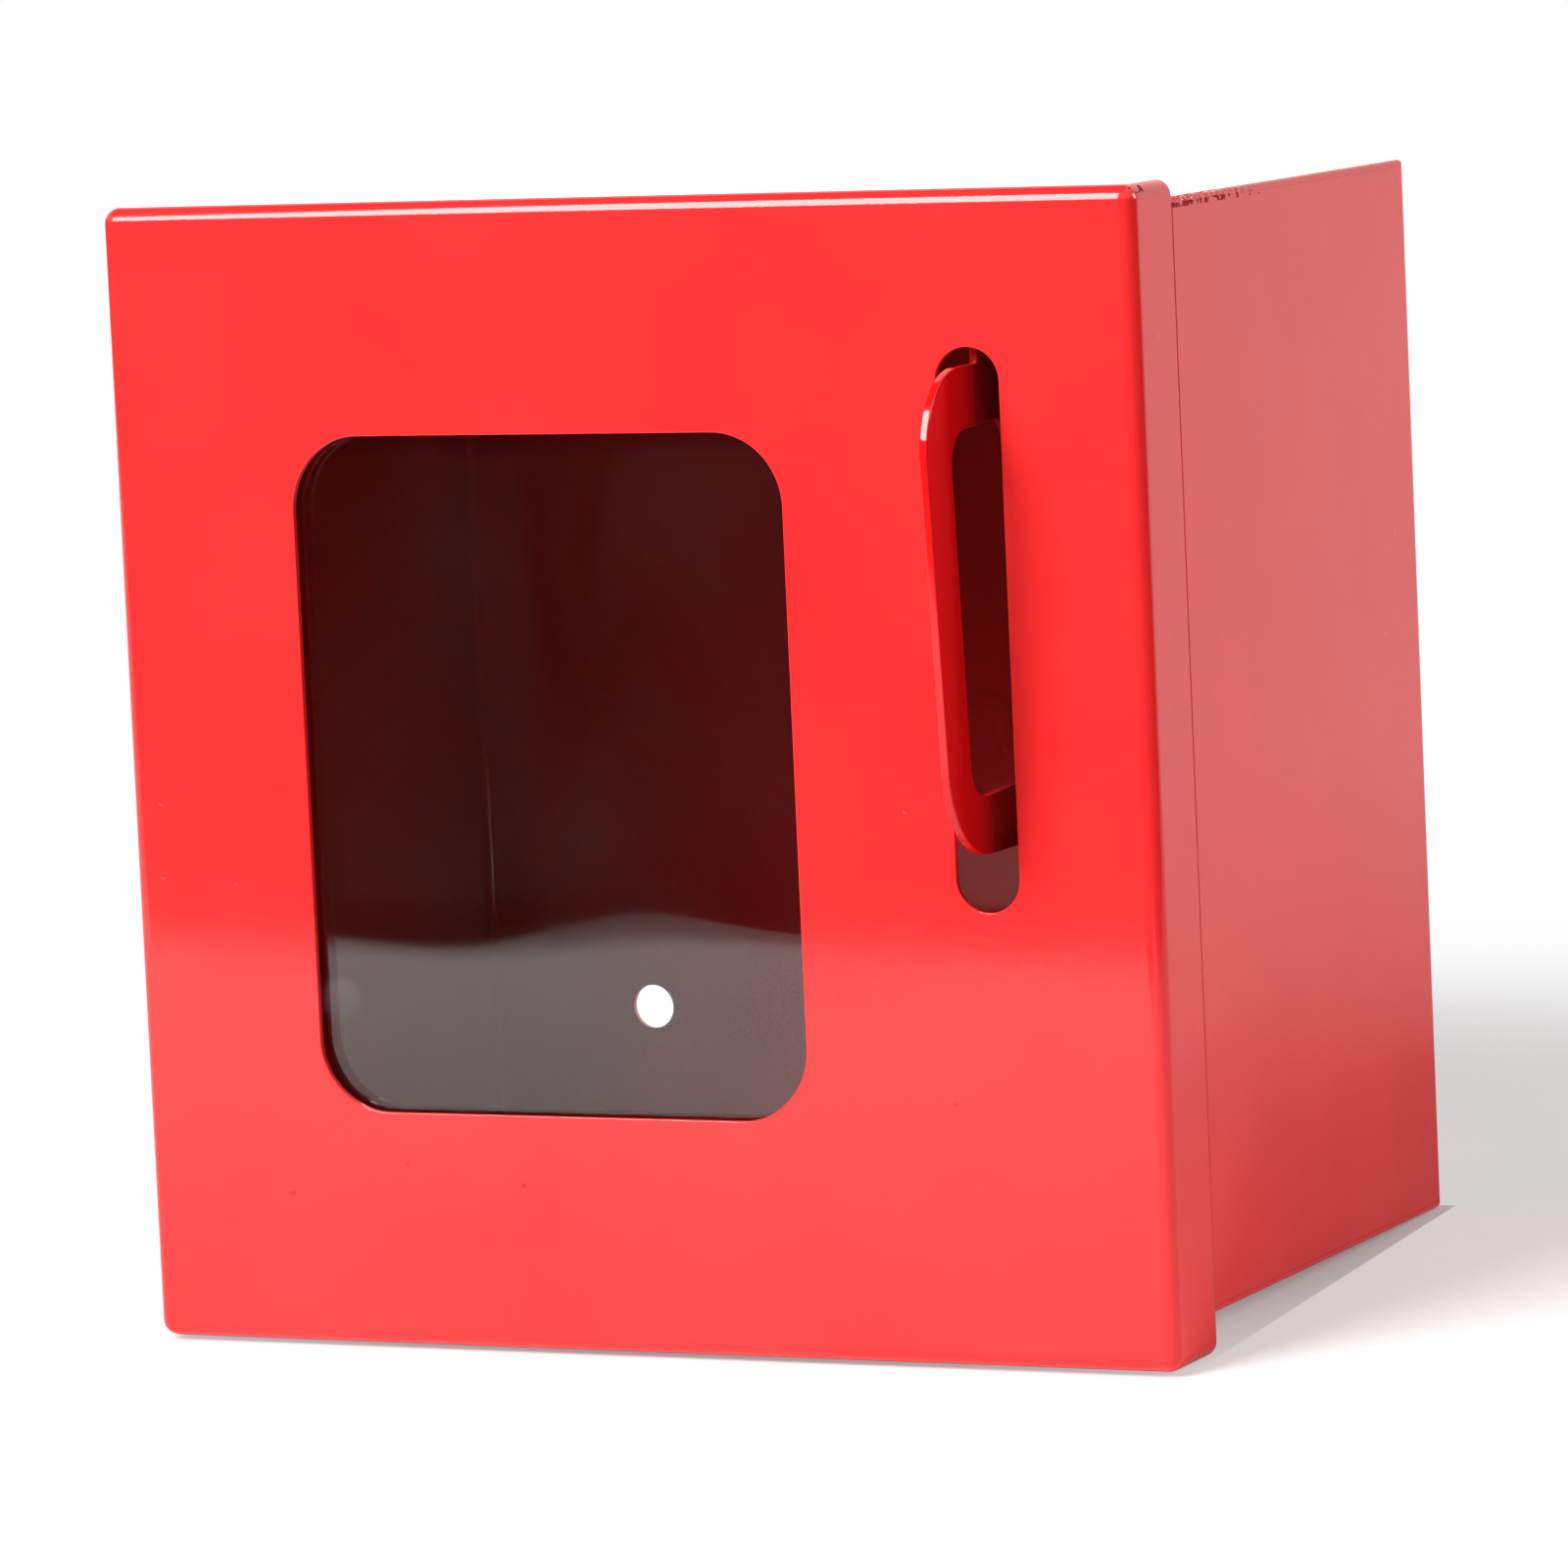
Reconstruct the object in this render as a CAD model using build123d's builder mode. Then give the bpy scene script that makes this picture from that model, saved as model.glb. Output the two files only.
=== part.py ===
from build123d import *
import os

# A small wall-hung steel lockout box. A shallow pan door laps over the front of a welded cabinet,
# and a flat loop welded inside the cabinet stands out through a slot in the door for padlocks.
#
# Frame: millimetres, +Z up, +X to the right of someone facing the door, +Y towards the wall.
# The origin is the centre of the four wall holes, on the outer face of the cabinet's back.

os.makedirs("parts", exist_ok=True)

# Sheet and cabinet
sheet = 1.0
bend_in_r = 1.2
body_w = 148.8
body_h = 148.0
body_d = 101.0
lip_w = 10.0
lip_corner_gap = 0.3

# Seam welds where the end plates meet the shell
seam_step = 0.8
seam_round = 0.7

# Wall holes
wall_hole_d = 6.4
wall_hole_span_x = 95.0
wall_hole_span_z = 95.0

# Door pan and its gaps round the cabinet
door_side_gap = 0.6
door_top_gap = 1.6
door_bottom_gap = 4.0
door_face_gap = 2.0
door_depth = 13.4
corner_weld_w = 3.0

# Window in the door
window_w = 72.8
window_h = 92.1
window_corner_r = 10.0
window_x = -12.0
window_rise = 0.35
tape_t = 0.8
tape_w = 7.0
tape_set_back = 1.0
pane_t = 2.0
pane_rim = 9.0
pane_corner_r = 5.0

# Padlock loop
hasp_t = 1.2
hasp_bend_in_r = 1.2
hasp_x = 51.7
hasp_z = 21.55
loop_h = 64.3
loop_reach = 15.0
loop_corner_r = 12.0
loop_arm = 8.0
loop_front_rim = 9.0
eye_len = 19.0
eye_corner_r = 4.5
stop_gap = 0.3
stop_rise = 8.0
root_len = 11.0
foot_len = 13.0

# Stitch welds along the foot of the loop's plate
stitch_leg = 1.4
stitch_len = 12.0
stitch_pitch = 24.0
stitch_count = 3

# Clearances of the loop in its slot
slot_side_clear = 3.9
slot_top_clear = 2.3
slot_bottom_clear = 7.8

# Weld-on barrel hinges
barrel_r = 3.0
barrel_len = 15.0
barrel_edge_break = 0.4
barrel_flange_gap = 0.1
hinge_inset = 28.0
washer_t = 0.5
washer_edge_clear = 0.3
washer_bore_clear = 0.1
end_float = 0.05
pin_r = 1.5
pin_seat = 12.0
pin_reach = 11.5
pin_nose_gap = 0.6
pin_run_clear = 0.05
pin_chamfer = 0.3

# Beads that hold the hinge barrels. Angles are in degrees from +X, about the barrel's axis:
# a bead leaves the barrel at its toe angle, and its root angle points into the corner it fills.
bead_root = 0.8
bead_wall_toe = 3.2
bead_flange_toe = 2.0
bead_end_margin = 1.5
bead_bite = 0.3
wall_bead_toe_angle = 55.0
wall_bead_root_angle = 20.0
flange_bead_toe_angle = -105.0
flange_bead_root_angle = -45.0

# Places worked out from the sizes above
bend_out_r = bend_in_r + sheet
shell_h = body_h - 2 * sheet
body_x = body_w / 2
body_top = body_h / 2
inner_x = body_x - sheet
front_y = -body_d
lip_end_x = body_x - lip_w
tab_half_w = lip_end_x - lip_corner_gap
tab_bend_len = 2 * bend_out_r
door_face_y = front_y - door_face_gap - sheet
door_inner_y = door_face_y + sheet
door_rear_y = door_face_y + door_depth
door_x = body_x + door_side_gap + sheet
door_top = body_top + door_top_gap + sheet
door_bottom = -body_top - door_bottom_gap - sheet
door_z = (door_top + door_bottom) / 2
window_z = door_z + window_rise
tape_hole_w = window_w + 2 * tape_set_back
tape_hole_h = window_h + 2 * tape_set_back
tape_hole_r = window_corner_r + tape_set_back
loop_top = hasp_z + loop_h / 2
loop_bottom = hasp_z - loop_h / 2
loop_tip_y = door_face_y - loop_reach
slot_w = hasp_t + 2 * slot_side_clear
slot_top = loop_top + slot_top_clear
slot_bottom = loop_bottom - slot_bottom_clear
axis_x = -body_x - barrel_r
axis_y = door_rear_y + barrel_r + barrel_flange_gap
hinge_levels = {"upper": body_top - hinge_inset, "lower": hinge_inset - body_top}
bead_len = barrel_len - 2 * bead_end_margin
bead_core_r = barrel_r / 2


def save(part, name):
    part.label = name
    export_step(part, f"parts/{name}.step")


def from_axis(distance, angle):
    # A point beside the hinge axis, by its distance and its direction in degrees from +X.
    return Vector(axis_x, axis_y) + Vector(distance, 0).rotate(Axis.Z, angle)


def cabinet_plan(inset):
    # The cabinet's outline from above, drawn in by the inset all round.
    with BuildSketch() as plan:
        with Locations((0, -body_d / 2)):
            Rectangle(body_w - 2 * inset, body_d - 2 * inset)
        fillet(plan.vertices(), bend_out_r - inset)
    return plan.sketch


# Cabinet shell: lip, left side, back, right side and lip, bent from one sheet
with BuildPart() as body_wrap:
    with BuildSketch(Plane.XY.offset(-shell_h / 2)):
        with BuildLine():
            FilletPolyline(
                (-lip_end_x, front_y + sheet / 2),
                (-body_x + sheet / 2, front_y + sheet / 2),
                (-body_x + sheet / 2, -sheet / 2),
                (body_x - sheet / 2, -sheet / 2),
                (body_x - sheet / 2, front_y + sheet / 2),
                (lip_end_x, front_y + sheet / 2),
                radius=bend_in_r + sheet / 2,
            )
        trace(line_width=sheet)
    extrude(amount=shell_h)
    with BuildSketch(Plane.XZ):
        with GridLocations(wall_hole_span_x, wall_hole_span_z, 2, 2):
            Circle(wall_hole_d / 2)
    extrude(amount=sheet, mode=Mode.SUBTRACT)
save(body_wrap.part, "body_wrap")

# Top plate: a flat sheet laid on the shell, with a lip turned down at the front.
# Its rim stands in from the shell's outer face by the step that the seam weld fills.
with BuildPart() as top_plate:
    with BuildSketch(Plane.XY.offset(body_top - sheet)):
        add(cabinet_plan(seam_step))
        with Locations((0, front_y)):
            Rectangle(2 * tab_half_w, tab_bend_len, mode=Mode.SUBTRACT)
    extrude(amount=sheet)
    with BuildSketch(Plane.YZ.offset(-tab_half_w)):
        with BuildLine():
            FilletPolyline(
                (front_y + sheet / 2, body_top - lip_w),
                (front_y + sheet / 2, body_top - sheet / 2),
                (front_y + tab_bend_len, body_top - sheet / 2),
                radius=bend_in_r + sheet / 2,
            )
        trace(line_width=sheet)
    extrude(amount=2 * tab_half_w)
save(top_plate.part, "top_plate")

# Bottom plate: the same blank, turned over
with BuildPart() as bottom_plate:
    mirror(top_plate.part, about=Plane.XY)
save(bottom_plate.part, "bottom_plate")

# Seam weld that fills the step round the top plate, ground round along its outer edge
with BuildPart() as top_seam_weld:
    with BuildSketch(Plane.XY.offset(body_top - sheet)):
        add(cabinet_plan(0))
    extrude(amount=sheet)
    fillet(top_seam_weld.faces().sort_by(Axis.Z)[-1].edges(), seam_round)
    with BuildSketch(Plane.XY.offset(body_top - sheet)):
        add(cabinet_plan(seam_step))
        with Locations((0, front_y)):
            Rectangle(2 * lip_end_x, 2 * tab_bend_len)
    extrude(amount=sheet, mode=Mode.SUBTRACT)
save(top_seam_weld.part, "top_seam_weld")

# Seam weld round the bottom plate
with BuildPart() as bottom_seam_weld:
    mirror(top_seam_weld.part, about=Plane.XY)
save(bottom_seam_weld.part, "bottom_seam_weld")

# Padlock loop: one plate bent twice. Its foot lies on the right wall inside, its web crosses to
# the slot, and its tongue runs forward into the loop. The step above the loop stops the door.
shoulder_y = door_inner_y + stop_gap
eye_front_y = loop_tip_y + loop_front_rim
eye_rear_y = eye_front_y + eye_len
web_y = eye_rear_y + root_len
foot_x = inner_x - hasp_t / 2
foot_end_y = web_y + foot_len
with BuildPart() as hasp_plate:
    with BuildSketch(Plane.XY.offset(loop_bottom)):
        with BuildLine():
            FilletPolyline(
                (hasp_x, shoulder_y),
                (hasp_x, web_y),
                (foot_x, web_y),
                (foot_x, foot_end_y),
                radius=hasp_bend_in_r + hasp_t / 2,
            )
        trace(line_width=hasp_t)
    extrude(amount=loop_h + stop_rise)
    with BuildSketch(Plane.YZ.offset(hasp_x - hasp_t / 2)) as loop_side:
        with Locations(((loop_tip_y + eye_rear_y) / 2, hasp_z)):
            Rectangle(eye_rear_y - loop_tip_y, loop_h)
        fillet(loop_side.vertices().group_by(Axis.X)[0], loop_corner_r)
    extrude(amount=hasp_t)
    with BuildSketch(Plane.YZ.offset(hasp_x - hasp_t / 2)) as eye:
        with Locations(((eye_front_y + eye_rear_y) / 2, hasp_z)):
            RectangleRounded(eye_len, loop_h - 2 * loop_arm, eye_corner_r)
    extrude(amount=hasp_t, mode=Mode.SUBTRACT)
save(hasp_plate.part, "hasp_plate")

# Stitch welds between the end of the foot and the right wall
foot_mid_z = loop_bottom + (loop_h + stop_rise) / 2
stitch_levels = [foot_mid_z + (i - (stitch_count - 1) / 2) * stitch_pitch for i in range(stitch_count)]
with BuildPart() as hasp_stitch_welds:
    for level in stitch_levels:
        with BuildSketch(Plane.XY.offset(level - stitch_len / 2)):
            with BuildLine():
                Polyline(
                    (inner_x, foot_end_y),
                    (inner_x, foot_end_y + stitch_leg),
                    (inner_x - hasp_t, foot_end_y),
                    close=True,
                )
            make_face()
        extrude(amount=stitch_len)
save(hasp_stitch_welds.part, "hasp_stitch_welds")

# Door pan: a tray with rounded bends, cut for the window and for the loop
with BuildPart() as whole_pan:
    with BuildSketch(Plane.XZ.offset(-door_face_y)):
        with Locations((0, door_z)):
            Rectangle(2 * door_x, door_top - door_bottom)
    extrude(amount=-door_depth)
    flange_corners = whole_pan.edges().filter_by(Axis.Y)
    front_edges = whole_pan.faces().sort_by(Axis.Y)[0].edges()
    fillet(flange_corners + front_edges, bend_out_r)
    offset(amount=-sheet, openings=whole_pan.faces().sort_by(Axis.Y)[-1])
    with BuildSketch(Plane.XZ.offset(-door_face_y)):
        with Locations((window_x, window_z)):
            RectangleRounded(window_w, window_h, window_corner_r)
        with Locations((hasp_x, (slot_top + slot_bottom) / 2)):
            SlotOverall(slot_top - slot_bottom, slot_w, rotation=90)
    extrude(amount=-sheet, mode=Mode.SUBTRACT)

# The four flange corners are closed by weld, so each corner is a piece of its own
with BuildPart() as corner_blocks:
    with BuildSketch(Plane.XZ.offset(-door_rear_y)):
        with Locations((0, door_z)):
            with GridLocations(2 * door_x, door_top - door_bottom, 2, 2):
                Rectangle(2 * corner_weld_w, 2 * corner_weld_w)
    extrude(amount=door_depth - corner_weld_w)

with BuildPart() as door_pan:
    add(whole_pan.part)
    add(corner_blocks.part, mode=Mode.SUBTRACT)
save(door_pan.part, "door_pan")

with BuildPart() as door_corner_welds:
    add(whole_pan.part)
    add(corner_blocks.part, mode=Mode.INTERSECT)
save(door_corner_welds.part, "door_corner_welds")

# Foam tape that holds the pane behind the window
with BuildPart() as window_tape:
    with BuildSketch(Plane.XZ.offset(-door_inner_y)):
        with Locations((window_x, window_z)):
            RectangleRounded(tape_hole_w + 2 * tape_w, tape_hole_h + 2 * tape_w, tape_hole_r + tape_w)
            RectangleRounded(tape_hole_w, tape_hole_h, tape_hole_r, mode=Mode.SUBTRACT)
    extrude(amount=-tape_t)
save(window_tape.part, "window_tape")

# Clear pane
with BuildPart() as window_pane:
    with BuildSketch(Plane.XZ.offset(-door_inner_y - tape_t)):
        with Locations((window_x, window_z)):
            RectangleRounded(window_w + 2 * pane_rim, window_h + 2 * pane_rim, pane_corner_r)
    extrude(amount=-pane_t)
save(window_pane.part, "window_pane")

# Hinges: on each, the lower barrel is welded to the cabinet and carries the pin and washer,
# and the upper barrel is welded to the door's left flange and turns on the pin.
for place, level in hinge_levels.items():
    seat_z = level - washer_t / 2
    turn_z = level + washer_t / 2 + end_float
    with BuildPart() as body_barrel:
        with BuildSketch(Plane.XY.offset(seat_z - barrel_len)):
            with Locations((axis_x, axis_y)):
                Circle(barrel_r)
        extrude(amount=barrel_len)
        chamfer(body_barrel.edges().filter_by(GeomType.CIRCLE), barrel_edge_break)
        with BuildSketch(Plane.XY.offset(seat_z - pin_seat)):
            with Locations((axis_x, axis_y)):
                Circle(pin_r)
        extrude(amount=pin_seat, mode=Mode.SUBTRACT)
    save(body_barrel.part, f"{place}_body_barrel")

    with BuildPart() as door_barrel:
        with BuildSketch(Plane.XY.offset(turn_z)):
            with Locations((axis_x, axis_y)):
                Circle(barrel_r)
        extrude(amount=barrel_len)
        chamfer(door_barrel.edges().filter_by(GeomType.CIRCLE), barrel_edge_break)
        with BuildSketch(Plane.XY.offset(turn_z)):
            with Locations((axis_x, axis_y)):
                Circle(pin_r + pin_run_clear)
        extrude(amount=pin_reach + pin_nose_gap, mode=Mode.SUBTRACT)
    save(door_barrel.part, f"{place}_door_barrel")

    with BuildPart() as hinge_pin:
        with BuildSketch(Plane.XY.offset(seat_z - pin_seat)):
            with Locations((axis_x, axis_y)):
                Circle(pin_r)
        extrude(amount=turn_z + pin_reach - seat_z + pin_seat)
        chamfer(hinge_pin.edges().filter_by(GeomType.CIRCLE).group_by(Axis.Z)[-1], pin_chamfer)
    save(hinge_pin.part, f"{place}_hinge_pin")

    with BuildPart() as hinge_washer:
        with BuildSketch(Plane.XY.offset(seat_z)):
            with Locations((axis_x, axis_y)):
                Circle(barrel_r - washer_edge_clear)
                Circle(pin_r + washer_bore_clear, mode=Mode.SUBTRACT)
        extrude(amount=washer_t)
    save(hinge_washer.part, f"{place}_hinge_washer")

# Beads that join the lower barrels to the cabinet's left side, behind each barrel
with BuildPart() as hinge_body_welds:
    for level in hinge_levels.values():
        with BuildSketch(Plane.XY.offset(level - washer_t / 2 - barrel_len + bead_end_margin)):
            with BuildLine():
                Polyline(
                    (-body_x, axis_y + bead_root),
                    (-body_x, axis_y + bead_wall_toe),
                    from_axis(barrel_r - bead_bite, wall_bead_toe_angle),
                    from_axis(bead_core_r, wall_bead_root_angle),
                    close=True,
                )
            make_face()
            with Locations((axis_x, axis_y)):
                Circle(barrel_r, mode=Mode.SUBTRACT)
        extrude(amount=bead_len)
save(hinge_body_welds.part, "hinge_body_welds")

# Beads that join the upper barrels to the rear edge of the door's left flange
with BuildPart() as hinge_door_welds:
    for level in hinge_levels.values():
        with BuildSketch(Plane.XY.offset(level + washer_t / 2 + end_float + bead_end_margin)):
            with BuildLine():
                Polyline(
                    (-door_x, door_rear_y - bead_flange_toe),
                    (-door_x, door_rear_y),
                    (-door_x + sheet, door_rear_y),
                    from_axis(bead_core_r, flange_bead_root_angle),
                    from_axis(barrel_r - bead_bite, flange_bead_toe_angle),
                    close=True,
                )
            make_face()
            with Locations((axis_x, axis_y)):
                Circle(barrel_r, mode=Mode.SUBTRACT)
        extrude(amount=bead_len)
save(hinge_door_welds.part, "hinge_door_welds")
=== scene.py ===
# %% [markdown]
# A red steel lockout box. It is a small cabinet folded from sheet, with a shallow pan for a
# door, a clear window in the door, and a flat steel loop that stands out through a slot.
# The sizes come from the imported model, which is loaded as a fixed frame. Each visible piece is
# then modelled again with smooth folds and softened edges, in the same place.

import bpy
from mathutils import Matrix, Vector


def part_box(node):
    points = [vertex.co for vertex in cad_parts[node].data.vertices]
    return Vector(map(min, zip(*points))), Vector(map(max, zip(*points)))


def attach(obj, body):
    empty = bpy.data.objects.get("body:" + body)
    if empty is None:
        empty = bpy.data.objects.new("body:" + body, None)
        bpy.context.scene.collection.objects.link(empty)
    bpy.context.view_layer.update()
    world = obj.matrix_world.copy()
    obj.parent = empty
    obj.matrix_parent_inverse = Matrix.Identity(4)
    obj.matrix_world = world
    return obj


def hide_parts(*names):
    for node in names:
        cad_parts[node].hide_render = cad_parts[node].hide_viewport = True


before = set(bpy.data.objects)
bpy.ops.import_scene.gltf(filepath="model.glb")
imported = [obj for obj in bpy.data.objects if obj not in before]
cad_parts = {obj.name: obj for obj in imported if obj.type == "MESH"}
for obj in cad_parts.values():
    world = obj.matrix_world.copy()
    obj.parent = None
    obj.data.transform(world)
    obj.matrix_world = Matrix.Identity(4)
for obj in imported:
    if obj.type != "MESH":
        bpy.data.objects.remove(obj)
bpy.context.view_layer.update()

# %% [markdown]
# Blender works in metres, and sheet metal is drawn in millimetres. One named millimetre keeps
# every size readable. The values below are the shop sizes that all the pieces share.

# %% Shared sizes
import math

import bmesh
import bpy
from mathutils import Matrix, Vector, noise

mm = 0.001
sheet = 1.0 * mm
fold_r = 2.2 * mm
fold_steps = 10
tiny = 0.001 * mm
near = 0.01 * mm
pan_low, pan_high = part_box("door_pan")
shell_low, shell_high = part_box("body_wrap")
print("door", [round(v / mm, 1) for v in pan_high - pan_low], "mm")

# %% [markdown]
# Every piece goes through the same few steps: a mesh is shaped, turned into an object, perhaps
# cut, and then tied to the body that it moves with. Small helpers keep those steps alike.
# The cut-outs could be modelled face by face, but a boolean follows the punch that made them.

# %% Making and cutting
def new_object(name, shape):
    """Turn a finished bmesh into an object in the scene."""
    mesh = bpy.data.meshes.new(name)
    shape.to_mesh(mesh)
    shape.free()
    piece = bpy.data.objects.new(name, mesh)
    bpy.context.scene.collection.objects.link(piece)
    return piece


def settle(piece):
    """Bake the modifiers into the mesh, so that the next step works on real faces."""
    seen = piece.evaluated_get(bpy.context.evaluated_depsgraph_get())
    settled = bpy.data.meshes.new_from_object(seen)
    piece.modifiers.clear()
    piece.data = settled
    return piece


def cut(piece, tool, operation="DIFFERENCE", keep_tool=False):
    """Cut a piece with a tool object and throw the tool away, unless it is wanted again."""
    modifier = piece.modifiers.new("cut", "BOOLEAN")
    modifier.operation = operation
    modifier.solver = "EXACT"
    modifier.object = tool
    settle(piece)
    if not keep_tool:
        bpy.data.objects.remove(tool)
    return piece


def thicken(piece, thickness, offset=-1):
    """Give a bent surface its sheet thickness, inwards unless told otherwise."""
    modifier = piece.modifiers.new("thickness", "SOLIDIFY")
    modifier.thickness = thickness
    modifier.offset = offset
    modifier.use_even_offset = True
    return settle(piece)


def soften(piece, width, steps=3):
    """Break the sharp edges, as a deburring wheel and a coat of paint do."""
    modifier = piece.modifiers.new("soft edges", "BEVEL")
    modifier.width = width
    modifier.segments = steps
    modifier.limit_method = "ANGLE"
    modifier.angle_limit = math.radians(50)
    return settle(piece)


# %% [markdown]
# Gloss paint shows every wrong normal. Weighted normals let the large flat faces keep their
# own direction, so that only the folds and softened edges turn the light.

# %% Finishing a piece
def tidy_mesh(piece):
    """Join doubled vertices, point the faces outwards, and count the edges left open."""
    shape = bmesh.new()
    shape.from_mesh(piece.data)
    bmesh.ops.remove_doubles(shape, verts=shape.verts[:], dist=tiny / 2)
    bmesh.ops.recalc_face_normals(shape, faces=shape.faces[:])
    open_edges = sum(1 for edge in shape.edges if not edge.is_manifold)
    shape.to_mesh(piece.data)
    shape.free()
    return open_edges


def finish_piece(piece, body, nodes, paint):
    """Clean the mesh, paint it, and tie it to its body and to the nodes it stands for."""
    open_edges = tidy_mesh(piece)
    piece.data.materials.clear()
    piece.data.materials.append(paint)
    piece.data.shade_smooth()
    piece.data.set_sharp_from_angle(angle=math.radians(55))
    weighted = piece.modifiers.new("flat stays flat", "WEIGHTED_NORMAL")
    weighted.keep_sharp = True
    weighted.weight = 100
    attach(piece, body)
    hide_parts(*nodes)
    print(piece.name, len(piece.data.polygons), "faces,", open_edges, "open edges")
    return piece


# %% [markdown]
# The camera stands in front and to the right, a little above the box, with a long lens, as in
# the picture. It looks at a point just right of the door's middle, and leans by a few degrees.

# %% Camera
camera_place = Vector((509.3, -1147.0, 130.7)) * mm
camera_aim = Vector((22.9, -104.0, -1.5)) * mm
camera_lean = math.radians(-2.6)
lens = bpy.data.cameras.new("camera")
lens.sensor_width = 36.0
lens.lens = 201.1
lens.clip_start = 0.05
lens.clip_end = 50.0
camera = bpy.data.objects.new("camera", lens)
bpy.context.scene.collection.objects.link(camera)
look = (camera_aim - camera_place).to_track_quat("-Z", "Y").to_matrix().to_4x4()
camera.matrix_world = Matrix.Translation(camera_place) @ look @ Matrix.Rotation(camera_lean, 4, "Z")
bpy.context.scene.camera = camera
print("camera", round((camera_aim - camera_place).length, 3), "m from the door")

# %% [markdown]
# Every surface below is a small graph of nodes. It could be clicked together in the shader
# editor, but the same few nodes come again and again, so each kind gets a helper here, and the
# finishes can then be read like recipes.

# %% Shader nodes
def feed(tree, value, socket):
    """Link an output to a socket, or set the socket to a plain value."""
    if isinstance(value, bpy.types.NodeSocket):
        tree.links.new(value, socket)
    else:
        socket.default_value = value


def node_math(tree, operation, first, second):
    """One Math node. The second input is a socket or a number."""
    node = tree.nodes.new("ShaderNodeMath")
    node.operation = operation
    tree.links.new(first, node.inputs[0])
    feed(tree, second, node.inputs[1])
    return node.outputs[0]


def vector_math(tree, operation, first, second=(0, 0, 0)):
    """One Vector Math node. The second input is a fixed vector."""
    node = tree.nodes.new("ShaderNodeVectorMath")
    node.operation = operation
    tree.links.new(first, node.inputs[0])
    node.inputs[1].default_value = second
    return node.outputs["Value" if operation == "DISTANCE" else "Vector"]


def along_axes(tree, where):
    """A place split into its X, Y and Z."""
    parts = tree.nodes.new("ShaderNodeSeparateXYZ")
    tree.links.new(where, parts.inputs["Vector"])
    return parts.outputs


def map_range(tree, value, low, high, to_low=0.0, to_high=1.0, step="LINEAR"):
    """Carry a value from one range to another. A SMOOTHSTEP starts and ends softly."""
    node = tree.nodes.new("ShaderNodeMapRange")
    node.interpolation_type = step
    node.inputs["From Min"].default_value = low
    node.inputs["From Max"].default_value = high
    node.inputs["To Min"].default_value = to_low
    node.inputs["To Max"].default_value = to_high
    tree.links.new(value, node.inputs["Value"])
    return node.outputs["Result"]


def mix_colour(tree, share, first, second):
    """Two colours, blended by the share of the second. Each is a colour or a socket."""
    node = tree.nodes.new("ShaderNodeMix")
    node.data_type = "RGBA"
    tree.links.new(share, node.inputs["Factor"])
    feed(tree, first, node.inputs["A"])
    feed(tree, second, node.inputs["B"])
    return node.outputs["Result"]


def mix_shader(tree, share, first, second, output):
    """Two shaders, blended by the share of the second, and sent to the output."""
    node = tree.nodes.new("ShaderNodeMixShader")
    tree.links.new(share, node.inputs["Fac"])
    tree.links.new(first, node.inputs[1])
    tree.links.new(second, node.inputs[2])
    tree.links.new(node.outputs["Shader"], output.inputs["Surface"])


def within(tree, where, low, high):
    """1 inside the block between two corners, else 0."""
    low, high = Vector(low), Vector(high)
    from_middle = vector_math(tree, "SUBTRACT", where, (low + high) / 2)
    beyond = vector_math(tree, "SUBTRACT", vector_math(tree, "ABSOLUTE", from_middle), (high - low) / 2)
    parts = along_axes(tree, beyond)
    widest = node_math(tree, "MAXIMUM", parts["X"], parts["Y"])
    widest = node_math(tree, "MAXIMUM", widest, parts["Z"])
    return node_math(tree, "LESS_THAN", widest, 0.0)


def new_material(name):
    """A material, its node tree, and the place of each point in its object's coordinates."""
    material = bpy.data.materials.new(name)
    material.use_nodes = True
    tree = material.node_tree
    return material, tree, tree.nodes.new("ShaderNodeTexCoord").outputs["Object"]


print("node helpers ready")

# %% [markdown]
# A glossy red box is drawn by what it mirrors. The door mirrors the pale table up to its front
# edge and the dark side of the room above it. The side mirrors the table behind, which is shaded
# near the box and white further off. The folds between the faces mirror the room's dark right,
# its dark left, and a dark card overhead. So the studio is a table in a white room, with dark
# curtains behind the camera and at both sides. The table's right edge runs slantwise, so that the
# right fold looks past it and stays dark until it meets the flat side.
# A real table lit until it is as white as the room would throw too much light back at the box.
# So this one keeps a lamp's ordinary shade, and turns white only for the rays that look at it,
# by their kind and by how far away they meet it.

# %% Plain stage materials
def matt(name, colour):
    """A plain matt surface. Its nodes are handed back, so that the table can add to them."""
    material = bpy.data.materials.new(name)
    material.use_nodes = True
    tree = material.node_tree
    tree.nodes.clear()
    surface = tree.nodes.new("ShaderNodeBsdfDiffuse")
    surface.inputs["Color"].default_value = (*colour, 1)
    output = tree.nodes.new("ShaderNodeOutputMaterial")
    tree.links.new(surface.outputs["BSDF"], output.inputs["Surface"])
    return material, surface, output


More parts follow.
